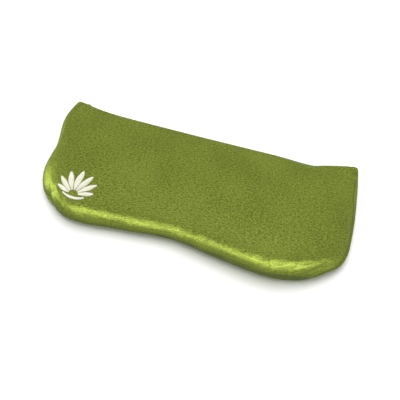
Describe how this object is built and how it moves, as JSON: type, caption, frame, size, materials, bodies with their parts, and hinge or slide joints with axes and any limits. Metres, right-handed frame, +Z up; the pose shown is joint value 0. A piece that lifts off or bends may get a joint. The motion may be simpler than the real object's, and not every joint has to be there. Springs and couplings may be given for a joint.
{
  "type": "eye pillow",
  "caption": "Small rectangular satin eye pillow, loosely filled with seed that has settled along one long side, with turned-in seams and a small embroidered flower near a corner.",
  "frame": {"origin": "bottom centre of the whole pillow's box, on the surface it rests on", "axes": "+X along the length, with the embroidered corner towards -X; +Y across it, towards the thin long edge; +Z up"},
  "size_m": [0.2231, 0.1024, 0.0266],
  "materials": {
    "satin": "soft satin sheen, olive green",
    "sewing_thread": "matt spun thread",
    "embroidery_thread": "glossy satin stitch, cream",
    "backing": "matt non-woven",
    "muslin": "matt unbleached plain weave",
    "muslin_thread": "matt spun thread",
    "seed": "smooth glossy seed with dried flower buds"
  },
  "bodies": {
    "root": {"top_panel": "satin", "back_panel": "satin", "seam_thread": "sewing_thread", "closing_thread": "sewing_thread", "lotus_petal_center": "embroidery_thread", "lotus_petal_inner_left": "embroidery_thread", "lotus_petal_inner_right": "embroidery_thread", "lotus_petal_outer_left": "embroidery_thread", "lotus_petal_outer_right": "embroidery_thread", "lotus_petal_lower_left": "embroidery_thread", "lotus_petal_lower_right": "embroidery_thread", "lotus_base_line": "embroidery_thread", "embroidery_backing": "backing", "inner_bag_top": "muslin", "inner_bag_bottom": "muslin", "inner_bag_thread": "muslin_thread", "seed_fill": "seed"}
  },
  "joints": []
}
